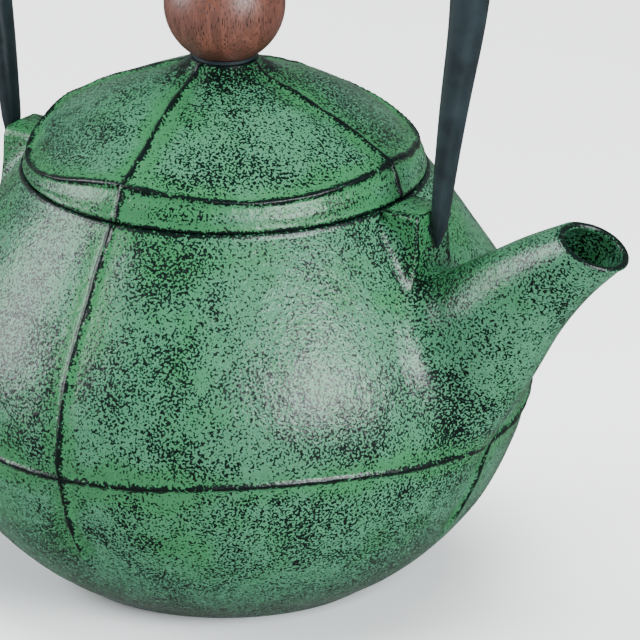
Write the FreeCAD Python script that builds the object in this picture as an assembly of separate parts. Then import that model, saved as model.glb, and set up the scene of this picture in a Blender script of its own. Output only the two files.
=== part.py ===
import FreeCAD, Part
import math
import os

# Cast iron teapot: pot with spout and lugs, swinging bail, lid with a turned wooden ball, strainer basket.
# Millimetres. +Z is up, the origin is the centre of the flat foot, and +X points along the spout.

# ---------------------------------------------------------------- driving dimensions
RIM_Z = 110.8            # top of the pot's mouth
LIP_R = 53.5             # outer radius of the mouth's lip
SHOULDER_TOP = (71.5, 83.3)      # where the straight shoulder meets the belly's arc, as (radius, height)
SHOULDER_MIDDLE = (78.1, 69.1)
BELLY = (80.4, 53.6)     # the widest place
BOWL = (68.2, 25.0)
FOOT = (39.8, 0.0)
WALL = 4.0               # thickness of the casting

LEDGE_R = 50.0           # recess in the mouth for the basket's flange
LEDGE_DROP = 1.6
THROAT_R = 45.8
THROAT_LENGTH = 4.5

SEAM_ANGLES = (5.0, 91.0, 180.0, 271.0)   # raised seams that run down the pot and across the lid
SEAM_WIDTH = 1.6
SEAM_HEIGHT = 0.8
BELLY_SEAM_Z = 48.7      # the ring seam's height where it crosses the upright seams
BELLY_SEAM_RISE = 2.8    # how much higher it runs between them

LUG_FACE_X = 65.7        # outer face of each lug
LUG_WIDTH = 15.0
LUG_TOP = RIM_Z + 1.2
LUG_ROOT_X = 54.4
LUG_FOOT_Z = 88.0
LUG_EDGE = 1.6           # rounding along the lug's top and sides

PEG_Z = RIM_Z - 3.4      # axis the bail swings about
PEG_R = 2.20
PEG_BORE_R = 2.25
PEG_END_X = 58.4
PEG_BORE_END_X = 57.6

# The spout as ellipses across it: upper point (x, z), lower point (x, z), half width, wall.
SPOUT = (
    ((53.0, 86.0), (72.5, 43.0), 16.5, 4.0),
    ((66.0, 93.5), (82.5, 52.0), 15.5, 4.0),
    ((75.5, 99.5), (94.0, 69.0), 14.0, 3.8),
    ((85.5, 105.5), (104.0, 85.5), 12.0, 3.2),
    ((95.0, 111.0), (114.0, 98.0), 10.5, 2.5),
    ((107.0, 117.0), (125.0, 108.5), 9.7, 1.9),
)

LID_R = 52.5
LID_SEAT = 0.3           # gap between the lid's flange and the pot's lip
LID_RING = (49.7, 8.2)   # ring seam of the lid, as (radius, rise over the pot's lip)
LID_SHOULDER = (41.0, 14.9)
LID_DOME = (27.0, 21.8)
LID_CROWN = (8.6, 28.6)
LID_BOSS_RISE = 30.8
LID_WALL = 3.6
LID_SEAM_SINK = 0.25     # how far the ring seam's centre lies under the surface
SKIRT_R = 42.6
SKIRT_WALL = 3.0
SKIRT_DROP = 8.0
SCREW_HOLE_R = 2.7

KNOB_R = 15.9
KNOB_CENTRE_RISE = 45.2
KNOB_WASHER_R = 8.4
KNOB_WASHER = 0.8
INSERT_R = 3.6
INSERT_LENGTH = 12.0
SCREW_R = 2.0
SCREW_REACH = 10.0       # how far the screw goes into the ball
SCREW_HEAD_R = 4.2
SCREW_HEAD = 2.6
SCREW_WASHER_R = 6.5
SCREW_WASHER = 1.0

BASKET_R = 44.6          # outer radius of the basket's mesh wall
BASKET_MESH = 0.5
BASKET_SHEET = 0.7
BASKET_FLANGE_R = 49.4
BASKET_COLLAR = 6.0
BASKET_DEPTH = 54.0      # from the pot's lip to the underside of the basket
BASKET_BASE_LIP = 5.0
BASKET_BASE_HOLE_R = 38.0

BAIL_CROWN_RISE = 146.0  # highest point of the bail's centre line over the pot's lip
BAIL_CROWN_R = 110.0
BAIL_SHOULDER_R = 48.0
BAIL_HALF_SPAN = 78.6
BAIL_UPPER_LEG_R = 257.0
BAIL_LEAN = 10.4         # degrees that the leg leans where its two bends meet
BAIL_LOWER_LEG_R = 640.0
BAIL_CROWN_HALF = (5.2, 5.8)     # half thickness and half width at the crown
BAIL_FOOT_HALF = (1.9, 2.7)      # the same at the peg
BAIL_TAPER = 0.39        # share of each side of the bail that tapers
BAIL_TIP_DROP = 5.6      # how far the pointed foot hangs below the peg
BAIL_TIP_SHARE = 0.30    # size of the foot's end against its size at the peg


# ---------------------------------------------------------------- helpers
def xz(point, y=0.0):
    return FreeCAD.Vector(point[0], y, point[1])


def circle_through(start, middle, end):
    """Centre and radius of the circle through three (radius, height) points."""
    (ax, ay), (bx, by), (cx, cy) = start, middle, end
    d = 2 * (ax * (by - cy) + bx * (cy - ay) + cx * (ay - by))
    a2 = ax * ax + ay * ay
    b2 = bx * bx + by * by
    c2 = cx * cx + cy * cy
    centre_x = (a2 * (by - cy) + b2 * (cy - ay) + c2 * (ay - by)) / d
    centre_y = (a2 * (cx - bx) + b2 * (ax - cx) + c2 * (bx - ax)) / d
    return centre_x, centre_y, math.hypot(ax - centre_x, ay - centre_y)


def offset_arc(points, outward):
    """A three-point arc moved away from its centre, or towards it when outward is negative."""
    centre_x, centre_y, radius = circle_through(*points)
    scale = (radius + outward) / radius
    return [(centre_x + (x - centre_x) * scale, centre_y + (y - centre_y) * scale) for x, y in points]


def outline(steps):
    """A closed wire in the XZ plane. A step is a corner (x, z), or (middle, end) for an arc."""
    edges = []
    here = steps[0]
    for step in steps[1:] + [steps[0]]:
        if isinstance(step[0], tuple):
            middle, there = step
            edges.append(Part.Arc(xz(here), xz(middle), xz(there)).toShape())
        else:
            there = step
            if math.hypot(there[0] - here[0], there[1] - here[1]) > 1e-6:
                edges.append(Part.LineSegment(xz(here), xz(there)).toShape())
        here = there
    return Part.Wire(edges)


def revolve(steps):
    """A solid of revolution about Z from a closed outline in the XZ plane."""
    return Part.Face(outline(steps)).revolve(FreeCAD.Vector(0, 0, 0), FreeCAD.Vector(0, 0, 1), 360)


def tube(outer_r, inner_r, low, high):
    return revolve([(inner_r, low), (outer_r, low), (outer_r, high), (inner_r, high)])


def disc(radius, low, high):
    return Part.makeCylinder(radius, high - low, FreeCAD.Vector(0, 0, low))


def ellipse(centre, long_axis, long_half, wide_half):
    """A closed curve round an ellipse with one half axis along long_axis and the other along Y."""
    count = 24
    points = []
    for index in range(count):
        angle = 2 * math.pi * index / count
        along = FreeCAD.Vector(long_axis).multiply(long_half * math.cos(angle))
        across = FreeCAD.Vector(0, wide_half * math.sin(angle), 0)
        points.append(centre + along + across)
    curve = Part.BSplineCurve()
    curve.interpolate(Points=points, PeriodicFlag=True)
    return Part.Wire([curve.toShape()])


def save(name, shape):
    solids = shape.Solids
    assert shape.isValid(), name
    assert len(solids) == 1 and solids[0].Volume > 0, name
    solids[0].exportStep(os.path.join("parts", name + ".step"))
    print(name, "volume_cm3", round(solids[0].Volume / 1000, 2))


# ---------------------------------------------------------------- pot
BELLY_ARC = [SHOULDER_TOP, SHOULDER_MIDDLE, BELLY]
BOWL_ARC = [BELLY, BOWL, FOOT]


def shoulder_line(outward):
    """The shoulder's straight side, moved square to itself, as its upper and lower points."""
    length = math.hypot(SHOULDER_TOP[0] - LIP_R, RIM_Z - SHOULDER_TOP[1])
    step_x = (RIM_Z - SHOULDER_TOP[1]) / length * outward
    step_z = (SHOULDER_TOP[0] - LIP_R) / length * outward
    upper = (LIP_R + step_x, RIM_Z + step_z)
    lower = (SHOULDER_TOP[0] + step_x, SHOULDER_TOP[1] + step_z)
    return upper, lower


def pot_outside(grow=0.0):
    """Outline of the pot's outside, from the axis at the foot to the axis at the mouth."""
    bowl = offset_arc(BOWL_ARC, grow)
    belly = offset_arc(BELLY_ARC, grow)
    upper, _ = shoulder_line(grow)
    return [
        (0.0, bowl[2][1]),
        bowl[2],
        (bowl[1], bowl[0]),
        belly[2],
        (belly[1], belly[0]),
        upper,
        (0.0, upper[1]),
    ]


def pot_cavity():
    """The space inside the pot, from its floor up through the throat and the ledge."""
    bowl = offset_arc(BOWL_ARC, -WALL)
    belly = offset_arc(BELLY_ARC, -WALL)
    upper, lower = shoulder_line(-WALL)
    throat_foot = RIM_Z - LEDGE_DROP - THROAT_LENGTH
    under_lip = throat_foot - 1.6
    share = (under_lip - lower[1]) / (upper[1] - lower[1])
    under_lip_x = lower[0] + (upper[0] - lower[0]) * share
    floor_z = bowl[2][1]
    return revolve([
        (0.0, floor_z),
        bowl[2],
        (bowl[1], belly[2]),
        (belly[1], belly[0]),
        (under_lip_x, under_lip),
        (THROAT_R, throat_foot),
        (THROAT_R, RIM_Z - LEDGE_DROP),
        (LEDGE_R, RIM_Z - LEDGE_DROP),
        (LEDGE_R, RIM_Z + 1.0),
        (0.0, RIM_Z + 1.0),
    ])


def outside_radius(height):
    """Radius of the pot's outside near the belly, at a height."""
    arc = BOWL_ARC if height < BELLY[1] else BELLY_ARC
    centre_x, centre_z, radius = circle_through(*arc)
    return centre_x + math.sqrt(radius ** 2 - (height - centre_z) ** 2)


def spout(hollow=False):
    """The spout as a loft through ellipses, or the channel inside it."""
    wires = []
    for upper, lower, half_width, wall in SPOUT:
        centre = xz(((upper[0] + lower[0]) / 2, (upper[1] + lower[1]) / 2))
        along = xz(upper) - xz(lower)
        half = along.Length / 2
        along.normalize()
        trim = wall if hollow else 0.0
        wires.append(ellipse(centre, along, half - trim, half_width - trim))
    if hollow:
        out = along.cross(FreeCAD.Vector(0, 1, 0))
        if out.z < 0:
            out.multiply(-1)
        past = ellipse(centre + out.multiply(3.0), along, half - wall + 0.2, half_width - wall + 0.2)
        wires.append(past)
    return Part.makeLoft(wires, True, False)


def lug(side):
    """One lug: a block beside the mouth, rounded along its top and outer corners."""
    corner = FreeCAD.Vector(LUG_ROOT_X, -LUG_WIDTH / 2, LUG_FOOT_Z)
    block = Part.makeBox(LUG_FACE_X - LUG_ROOT_X, LUG_WIDTH, LUG_TOP - LUG_FOOT_Z, corner)
    edges = []
    for edge in block.Edges:
        middle = edge.CenterOfMass
        on_top = abs(middle.z - LUG_TOP) < 1e-6 and middle.x > LUG_ROOT_X + 1e-6
        on_corner = abs(middle.x - LUG_FACE_X) < 1e-6 and abs(middle.y) > LUG_WIDTH / 2 - 1e-6
        if on_top or on_corner:
            edges.append(edge)
    block = block.makeFillet(LUG_EDGE, edges)
    if side < 0:
        block = block.mirror(FreeCAD.Vector(0, 0, 0), FreeCAD.Vector(1, 0, 0))
    return block


def peg_bore(side):
    start = FreeCAD.Vector(side * PEG_BORE_END_X, 0, PEG_Z)
    length = LUG_FACE_X - PEG_BORE_END_X + 2.0
    return Part.makeCylinder(PEG_BORE_R, length, start, FreeCAD.Vector(side, 0, 0))


def upright_seams(steps, inner_r, low, high):
    """Thin upright ribs, cut from a slightly larger copy of an outside by slabs through the axis."""
    grown = revolve(steps)
    ribs = []
    for angle in SEAM_ANGLES:
        slab = Part.makeBox(120, SEAM_WIDTH, high - low, FreeCAD.Vector(inner_r, -SEAM_WIDTH / 2, low))
        slab.rotate(FreeCAD.Vector(0, 0, 0), FreeCAD.Vector(0, 0, 1), angle)
        ribs.append(grown.common(slab))
    return ribs


def belly_seams():
    """The ring seam round the belly: cords that dip at each upright seam and rise between them."""
    bounds = list(SEAM_ANGLES) + [SEAM_ANGLES[0] + 360.0]
    steps = 10
    cords = []
    for first, last in zip(bounds, bounds[1:]):
        points = []
        for step in range(steps + 1):
            share = step / steps
            angle = math.radians(first + (last - first) * share)
            height = BELLY_SEAM_Z + BELLY_SEAM_RISE * (1 - math.cos(2 * math.pi * share)) / 2
            radius = outside_radius(height)
            points.append(FreeCAD.Vector(radius * math.cos(angle), radius * math.sin(angle), height))
        path = Part.BSplineCurve()
        path.interpolate(points)
        along = path.tangent(path.FirstParameter)[0]
        section = Part.Wire([Part.makeCircle(SEAM_WIDTH / 2, points[0], along)])
        cords.append(Part.Wire([path.toShape()]).makePipeShell([section], True, True))
    return cords


def make_pot_and_spout():
    """The pot's shell and its spout, which meet on the shell's outside and share one channel."""
    outside = revolve(pot_outside())
    for cord in belly_seams():
        outside = outside.fuse(cord)
    outside = outside.fuse(upright_seams(pot_outside(SEAM_HEIGHT), 30.0, 6.0, RIM_Z - 1.0))
    outside = outside.fuse([lug(1), lug(-1)])
    channel = spout(hollow=True)
    shell = outside.cut(pot_cavity()).cut(channel)
    return shell.cut([peg_bore(1), peg_bore(-1)]), spout().cut(outside).cut(channel)


# ---------------------------------------------------------------- lid and knob
def over_lip(point, lift=0.0):
    return point[0], RIM_Z + point[1] + lift


LID_BOSS_R = LID_CROWN[0]
LID_UNDERSIDE = RIM_Z + LID_SEAT
LID_ARC = [over_lip(LID_RING), over_lip(LID_SHOULDER), over_lip(LID_DOME)]
LID_CEILING = RIM_Z + LID_CROWN[1] - LID_WALL
BOSS_TOP = RIM_Z + LID_BOSS_RISE
WASHER_TOP = BOSS_TOP + KNOB_WASHER


def lid_outside(grow=0.0):
    """Outside of the lid from its edge to the foot of its boss."""
    arc = offset_arc(LID_ARC, grow)
    edge_r = LID_R + grow * 0.4
    band_middle = ((LID_R + LID_RING[0]) / 2 + 0.5 + grow, RIM_Z + LID_RING[1] * 0.55)
    return [
        (edge_r, LID_UNDERSIDE),
        (edge_r, LID_UNDERSIDE + 1.0),
        (band_middle, arc[0]),
        (arc[1], arc[2]),
        over_lip(LID_CROWN, grow),
    ]


def make_lid():
    inner = offset_arc(LID_ARC, -LID_WALL)
    skirt_inner = SKIRT_R - SKIRT_WALL
    centre_x, centre_z, radius = circle_through(*inner)
    skirt_head = centre_z + math.sqrt(radius ** 2 - (skirt_inner - centre_x) ** 2)
    middle_x = (skirt_inner + inner[2][0]) / 2
    middle = (middle_x, centre_z + math.sqrt(radius ** 2 - (middle_x - centre_x) ** 2))
    body = revolve([
        (0.0, LID_UNDERSIDE)] + lid_outside() + [
        (LID_BOSS_R, BOSS_TOP),
        (0.0, BOSS_TOP),
    ])
    grown = [(LID_BOSS_R - 2.0, LID_UNDERSIDE)] + lid_outside(SEAM_HEIGHT)
    grown.append((LID_BOSS_R - 2.0, RIM_Z + LID_CROWN[1] + SEAM_HEIGHT))
    ribs = upright_seams(grown, LID_BOSS_R - 1.0, LID_UNDERSIDE, BOSS_TOP)
    ring_r = LID_RING[0] - LID_SEAM_SINK
    ring = Part.makeTorus(ring_r, SEAM_WIDTH / 2, FreeCAD.Vector(0, 0, RIM_Z + LID_RING[1] - LID_SEAM_SINK))
    skirt = disc(SKIRT_R, RIM_Z - SKIRT_DROP, LID_UNDERSIDE + 1.0)
    hollow = revolve([
        (0.0, RIM_Z - SKIRT_DROP - 1.0),
        (skirt_inner, RIM_Z - SKIRT_DROP - 1.0),
        (skirt_inner, skirt_head),
        (middle, inner[2]),
        (LID_BOSS_R, LID_CEILING),
        (0.0, LID_CEILING),
    ])
    screw_hole = disc(SCREW_HOLE_R, RIM_Z, BOSS_TOP + 1.0)
    return body.fuse([skirt, ring] + ribs).cut([hollow, screw_hole])


def make_knob():
    ball = Part.makeSphere(KNOB_R, FreeCAD.Vector(0, 0, RIM_Z + KNOB_CENTRE_RISE))
    under = disc(KNOB_R + 1.0, RIM_Z, WASHER_TOP)
    socket = disc(INSERT_R, WASHER_TOP - 1.0, WASHER_TOP + INSERT_LENGTH + 1.0)
    return ball.cut([under, socket])


def make_screw():
    head_top = LID_CEILING - SCREW_WASHER
    head_low = head_top - SCREW_HEAD
    head = disc(SCREW_HEAD_R, head_low, head_top)
    rounded = [edge for edge in head.Edges if abs(edge.CenterOfMass.z - head_low) < 1e-6]
    head = head.makeFillet(1.2, rounded)
    shank = disc(SCREW_R, head_top - 0.5, WASHER_TOP + SCREW_REACH)
    slot_a = Part.makeBox(5.0, 1.0, 1.4, FreeCAD.Vector(-2.5, -0.5, head_low))
    slot_b = Part.makeBox(1.0, 5.0, 1.4, FreeCAD.Vector(-0.5, -2.5, head_low))
    return head.fuse(shank).cut([slot_a, slot_b])


# ---------------------------------------------------------------- strainer basket
BASKET_SEAT = RIM_Z - LEDGE_DROP + 0.1
BASKET_UNDERSIDE = RIM_Z - BASKET_DEPTH


def make_basket_rim():
    outer = BASKET_R + BASKET_SHEET
    top = BASKET_SEAT + BASKET_SHEET
    return revolve([
        (BASKET_R, BASKET_SEAT - BASKET_COLLAR),
        (outer, BASKET_SEAT - BASKET_COLLAR),
        (outer, BASKET_SEAT),
        (BASKET_FLANGE_R, BASKET_SEAT),
        (BASKET_FLANGE_R, top),
        (BASKET_R, top),
    ])


def make_basket_wall():
    low = BASKET_UNDERSIDE + BASKET_SHEET
    return tube(BASKET_R, BASKET_R - BASKET_MESH, low, BASKET_SEAT)


def make_basket_base():
    outer = BASKET_R + BASKET_SHEET
    floor_top = BASKET_UNDERSIDE + BASKET_SHEET
    lip_top = BASKET_UNDERSIDE + BASKET_BASE_LIP
    return revolve([
        (BASKET_BASE_HOLE_R, BASKET_UNDERSIDE),
        (outer, BASKET_UNDERSIDE),
        (outer, lip_top),
        (BASKET_R, lip_top),
        (BASKET_R, floor_top),
        (BASKET_BASE_HOLE_R, floor_top),
    ])


def make_basket_floor():
    low = BASKET_UNDERSIDE + BASKET_SHEET
    return disc(BASKET_R - BASKET_MESH, low, low + BASKET_MESH)


# ---------------------------------------------------------------- bail
def bail_stations():
    """Stations down one side of the bail: (x, rise over the lip, degrees the line has turned from level)."""
    crown_z = BAIL_CROWN_RISE - BAIL_CROWN_R
    shoulder_x = BAIL_HALF_SPAN - BAIL_SHOULDER_R
    apart = BAIL_CROWN_R - BAIL_SHOULDER_R
    shoulder_z = crown_z + math.sqrt(apart ** 2 - shoulder_x ** 2)
    turn = math.degrees(math.asin(shoulder_x / apart))
    stations = []
    for share in (0.0, 0.35, 0.7):
        a = math.radians(turn * share)
        x = BAIL_CROWN_R * math.sin(a)
        z = crown_z + BAIL_CROWN_R * math.cos(a)
        stations.append((x, z, math.degrees(a)))
    for share in (0.0, 0.25, 0.5, 0.75, 1.0):
        a = math.radians(turn + (90 - turn) * share)
        x = shoulder_x + BAIL_SHOULDER_R * math.sin(a)
        z = shoulder_z + BAIL_SHOULDER_R * math.cos(a)
        stations.append((x, z, math.degrees(a)))
    for share in (0.5, 1.0):
        a = math.radians(BAIL_LEAN * share)
        x = BAIL_HALF_SPAN - BAIL_UPPER_LEG_R * (1 - math.cos(a))
        z = shoulder_z - BAIL_UPPER_LEG_R * math.sin(a)
        stations.append((x, z, 90 + math.degrees(a)))
    lean = math.radians(BAIL_LEAN)
    start_x, start_z, _ = stations[-1]
    for share in (0.5, 1.0):
        drop = (start_z - (PEG_Z - RIM_Z)) * share
        a = math.asin(math.sin(lean) - drop / BAIL_LOWER_LEG_R)
        x = start_x - BAIL_LOWER_LEG_R * (math.cos(a) - math.cos(lean))
        stations.append((x, start_z - drop, 90 + math.degrees(a)))
    return stations


def bail_section(station, side, halves):
    """An elliptical section of the bail, square to its centre line."""
    x, rise, turned = station
    a = math.radians(turned)
    out = FreeCAD.Vector(side * math.sin(a), 0, math.cos(a))
    return ellipse(FreeCAD.Vector(side * x, 0, RIM_Z + rise), out, halves[0], halves[1])


def bail_side(side):
    """One side of the bail, from the crown to the peg."""
    stations = bail_stations()
    travelled = [0.0]
    for (x0, z0, _), (x1, z1, _) in zip(stations, stations[1:]):
        travelled.append(travelled[-1] + math.hypot(x1 - x0, z1 - z0))
    total = travelled[-1]
    wires = []
    for station, distance in zip(stations, travelled):
        share = min(1.0, (total - distance) / (total * BAIL_TAPER))
        halves = [low + (high - low) * share for low, high in zip(BAIL_FOOT_HALF, BAIL_CROWN_HALF)]
        wires.append(bail_section(station, side, halves))
    return Part.makeLoft(wires, True, False), stations[-1]


def bail_tip(foot, side):
    """The pointed end that hangs below the peg."""
    x, rise, turned = foot
    end_x = x - BAIL_TIP_DROP * math.tan(math.radians(turned - 90))
    end_halves = [half * BAIL_TIP_SHARE for half in BAIL_FOOT_HALF]
    top = bail_section(foot, side, BAIL_FOOT_HALF)
    end = bail_section((end_x, rise - BAIL_TIP_DROP, turned), side, end_halves)
    return Part.makeLoft([top, end], True, True)


def make_bail():
    pieces = []
    for side in (1, -1):
        arm, foot = bail_side(side)
        start = FreeCAD.Vector(side * PEG_END_X, 0, PEG_Z)
        peg = Part.makeCylinder(PEG_R, foot[0] - PEG_END_X, start, FreeCAD.Vector(side, 0, 0))
        pieces += [arm, bail_tip(foot, side), peg]
    return pieces[0].fuse(pieces[1:])


# ---------------------------------------------------------------- write the parts
os.makedirs("parts", exist_ok=True)
pot_body, pot_spout = make_pot_and_spout()
save("pot_body", pot_body)
save("spout", pot_spout)
save("lid", make_lid())
save("knob_ball", make_knob())
save("knob_washer", tube(KNOB_WASHER_R, SCREW_HOLE_R, BOSS_TOP, WASHER_TOP))
save("knob_insert", tube(INSERT_R, SCREW_R, WASHER_TOP + 0.3, WASHER_TOP + 0.3 + INSERT_LENGTH))
save("knob_screw", make_screw())
save("screw_washer", tube(SCREW_WASHER_R, SCREW_R + 0.2, LID_CEILING - SCREW_WASHER, LID_CEILING))
save("basket_rim", make_basket_rim())
save("basket_wall", make_basket_wall())
save("basket_base", make_basket_base())
save("basket_floor", make_basket_floor())
save("bail", make_bail())
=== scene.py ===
import math

import bpy
import numpy as np
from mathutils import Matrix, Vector, noise


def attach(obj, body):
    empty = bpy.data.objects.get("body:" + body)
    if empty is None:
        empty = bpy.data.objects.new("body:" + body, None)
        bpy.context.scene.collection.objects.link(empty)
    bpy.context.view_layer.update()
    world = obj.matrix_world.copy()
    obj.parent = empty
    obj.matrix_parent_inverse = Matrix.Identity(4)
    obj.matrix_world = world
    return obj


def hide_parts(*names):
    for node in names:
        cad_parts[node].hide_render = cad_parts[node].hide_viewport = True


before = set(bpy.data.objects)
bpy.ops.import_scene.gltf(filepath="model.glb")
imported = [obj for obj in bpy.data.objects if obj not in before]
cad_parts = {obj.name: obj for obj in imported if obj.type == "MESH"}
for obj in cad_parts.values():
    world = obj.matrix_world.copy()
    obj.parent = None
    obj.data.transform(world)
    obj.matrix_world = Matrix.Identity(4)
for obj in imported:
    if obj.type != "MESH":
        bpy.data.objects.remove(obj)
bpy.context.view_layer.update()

bl_info = {
    "name": "Cast Iron Teapot",
    "version": (1, 0, 0),
    "blender": (4, 5, 0),
    "location": "View3D > Sidebar > Teapot",
    "description": "Builds an enamelled cast iron teapot with a bail handle, lid and strainer basket",
    "category": "Object",
}

MM = 0.001
SEAMS = (5.0, 91.0, 180.0, 271.0)


# ---------------------------------------------------------------- sizes a user would change
class TeapotPotSizes(bpy.types.PropertyGroup):
    seam_width: bpy.props.FloatProperty(
        name="Seam Width", description="Width of the raised seams cast on the pot and lid",
        default=1.75 * MM, min=0.5 * MM, max=4 * MM, precision=5, unit="LENGTH")
    seam_height: bpy.props.FloatProperty(
        name="Seam Height", description="How far the raised seams stand out of the panels",
        default=0.95 * MM, min=0.0, max=3 * MM, precision=5, unit="LENGTH")
    puff: bpy.props.FloatProperty(
        name="Panel Puff", description="How far the middle of each panel swells between its seams",
        default=0.9 * MM, min=0.0, max=3 * MM, precision=5, unit="LENGTH")
    waviness: bpy.props.FloatProperty(
        name="Hand Waviness", description="Depth of the slow unevenness of the cast surface",
        default=0.28 * MM, min=0.0, max=2 * MM, precision=5, unit="LENGTH")
    lip_radius: bpy.props.FloatProperty(
        name="Spout Lip", description="Radius of the rounded lip at the spout's mouth",
        default=0.95 * MM, min=0.2 * MM, max=2 * MM, precision=5, unit="LENGTH")
    columns: bpy.props.IntProperty(
        name="Columns", description="Columns of faces round the pot and the lid",
        default=336, min=96, max=512)


class TeapotBailSizes(bpy.types.PropertyGroup):
    point: bpy.props.FloatProperty(
        name="Point Length", description="Length of the tapered point at each foot of the bail",
        default=9.0 * MM, min=1 * MM, max=20 * MM, precision=5, unit="LENGTH")
    squareness: bpy.props.FloatProperty(
        name="Squareness", description="Shape of the bail across, from 2 for an oval to 4 for a soft bar",
        default=2.5, min=2.0, max=5.0)


class TeapotFinishes(bpy.types.PropertyGroup):
    enamel: bpy.props.FloatVectorProperty(
        name="Enamel", description="Main green of the enamel", subtype="COLOR", size=3,
        default=(0.020, 0.100, 0.038), min=0.0, max=1.0)
    enamel_pale: bpy.props.FloatVectorProperty(
        name="Cool Enamel", description="Cooler green in the middle of the panels", subtype="COLOR", size=3,
        default=(0.032, 0.112, 0.060), min=0.0, max=1.0)
    speckle: bpy.props.FloatVectorProperty(
        name="Speckle", description="Near-black of the rubbed speckle and the seam crests",
        subtype="COLOR", size=3, default=(0.0004, 0.0034, 0.0024), min=0.0, max=1.0)
    wood: bpy.props.FloatVectorProperty(
        name="Wood", description="Main colour of the turned ball", subtype="COLOR", size=3,
        default=(0.088, 0.031, 0.020), min=0.0, max=1.0)
    iron: bpy.props.FloatVectorProperty(
        name="Black Iron", description="Colour of the bail's satin coating", subtype="COLOR", size=3,
        default=(0.0040, 0.0076, 0.0092), min=0.0, max=1.0)
    grain: bpy.props.FloatProperty(
        name="Grain", description="Size of one speckle", default=0.60 * MM, min=0.1 * MM, max=3 * MM,
        precision=5, unit="LENGTH")


# ---------------------------------------------------------------- modelling helpers
def deselect():
    if bpy.context.object and bpy.context.object.mode != "OBJECT":
        bpy.ops.object.mode_set(mode="OBJECT")
    bpy.ops.object.select_all(action="DESELECT")


def only(obj):
    """Select one object and make it the active one."""
    deselect()
    obj.select_set(True)
    bpy.context.view_layer.objects.active = obj
    return obj


def named(name):
    """Take the object that an operator has just added and give it its name."""
    obj = bpy.context.object
    obj.name = name
    obj.data.name = name
    return obj


def coords(obj):
    out = np.empty(len(obj.data.vertices) * 3)
    obj.data.vertices.foreach_get("co", out)
    return out.reshape(-1, 3)


def place(obj, points):
    obj.data.vertices.foreach_set("co", np.ascontiguousarray(points, dtype=np.float32).ravel())
    obj.data.update()


def turned(radius, degrees, z):
    """Points at a radius, an angle in degrees and a height."""
    a = np.radians(degrees)
    return np.stack([radius * np.cos(a), radius * np.sin(a), z], axis=-1)


def polar(points):
    """Radius and angle in degrees of points about the upright axis."""
    x, y = points[..., 0], points[..., 1]
    return np.hypot(x, y), np.degrees(np.arctan2(y, x))


def column_of(points, columns):
    """Number of the column, of all those evenly round the upright axis, that each point is in."""
    return np.rint(polar(points)[1] * columns / 360.0).astype(int) % columns


def unit(vectors):
    """Vectors brought to a length of one."""
    return vectors / np.linalg.norm(vectors, axis=-1, keepdims=True)


def bent(start, corner, end, u):
    """Where a soft bend from start to end, drawn towards corner, has got to at u."""
    return start * (1 - u) ** 2 + corner * 2 * u * (1 - u) + end * u ** 2


def evened(values, width):
    """A running mean over width values, with the end values held."""
    return np.convolve(np.pad(values, width // 2, mode="edge"), np.ones(width) / width, mode="valid")


def chain(name, points):
    """A string of edges through points, drawn by extruding a single vertex from each to the next."""
    deselect()
    bpy.ops.mesh.primitive_plane_add(size=MM)
    obj = named(name)
    bpy.ops.object.mode_set(mode="EDIT")
    bpy.ops.mesh.select_all(action="SELECT")
    bpy.ops.mesh.merge(type="CENTER")
    bpy.ops.transform.translate(value=points[0])
    for here, there in zip(points, points[1:]):
        step = (there[0] - here[0], there[1] - here[1], there[2] - here[2])
        bpy.ops.mesh.extrude_region_move(TRANSFORM_OT_translate={"value": step})
    bpy.ops.object.mode_set(mode="OBJECT")
    return obj


def spun(name, profile, columns):
    """A closed solid of revolution from a profile of (radius, height) in millimetres."""
    obj = chain(name, [(r * MM, 0.0, z * MM) for r, z in profile])
    bpy.ops.object.mode_set(mode="EDIT")
    bpy.ops.mesh.select_all(action="SELECT")
    bpy.ops.mesh.spin(steps=columns, angle=2 * math.pi, center=(0, 0, 0), axis=(0, 0, 1), use_auto_merge=True)
    bpy.ops.mesh.select_all(action="SELECT")
    bpy.ops.mesh.remove_doubles(threshold=1e-6)
    bpy.ops.mesh.normals_make_consistent(inside=False)
    bpy.ops.object.mode_set(mode="OBJECT")
    return obj


def skinned(name, rings, close_start=True, close_end=True):
    """A skin through rings of points: a circle is extruded once for each ring, and each is put in place."""
    deselect()
    count = len(rings[0])
    bpy.ops.mesh.primitive_circle_add(vertices=count, radius=MM)
    obj = named(name)
    bpy.ops.object.mode_set(mode="EDIT")
    bpy.ops.mesh.select_all(action="SELECT")
    for _ in rings[1:]:
        bpy.ops.mesh.extrude_region_move(TRANSFORM_OT_translate={"value": (0, 0, MM)})
    bpy.ops.object.mode_set(mode="OBJECT")
    start = coords(obj)
    level = np.rint(start[:, 2] / MM).astype(int)
    place(obj, np.array(rings)[level, column_of(start, count)] * MM)
    store(obj, "ring", level)
    bpy.ops.object.mode_set(mode="EDIT")
    for end, wanted in ((0, close_start), (len(rings) - 1, close_end)):
        if wanted:
            bpy.ops.mesh.select_all(action="DESELECT")
            bpy.ops.object.mode_set(mode="OBJECT")
            for vertex, at in zip(obj.data.vertices, level):
                vertex.select = at == end
            bpy.ops.object.mode_set(mode="EDIT")
            bpy.ops.mesh.select_mode(type="VERT")
            bpy.ops.mesh.edge_face_add()
    bpy.ops.mesh.select_all(action="SELECT")
    bpy.ops.mesh.normals_make_consistent(inside=False)
    bpy.ops.object.mode_set(mode="OBJECT")
    return obj


def cut(obj, cutter):
    """Take the cutter's solid out of obj, then remove the cutter."""
    only(obj)
    modifier = obj.modifiers.new("Cut", "BOOLEAN")
    modifier.operation = "DIFFERENCE"
    modifier.solver = "EXACT"
    modifier.object = cutter
    bpy.ops.object.modifier_apply(modifier="Cut")
    bpy.data.objects.remove(cutter, do_unlink=True)


def joined(objects):
    """Join several meshes into the first."""
    deselect()
    for obj in objects:
        obj.select_set(True)
    bpy.context.view_layer.objects.active = objects[0]
    bpy.ops.object.join()
    return objects[0]


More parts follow.
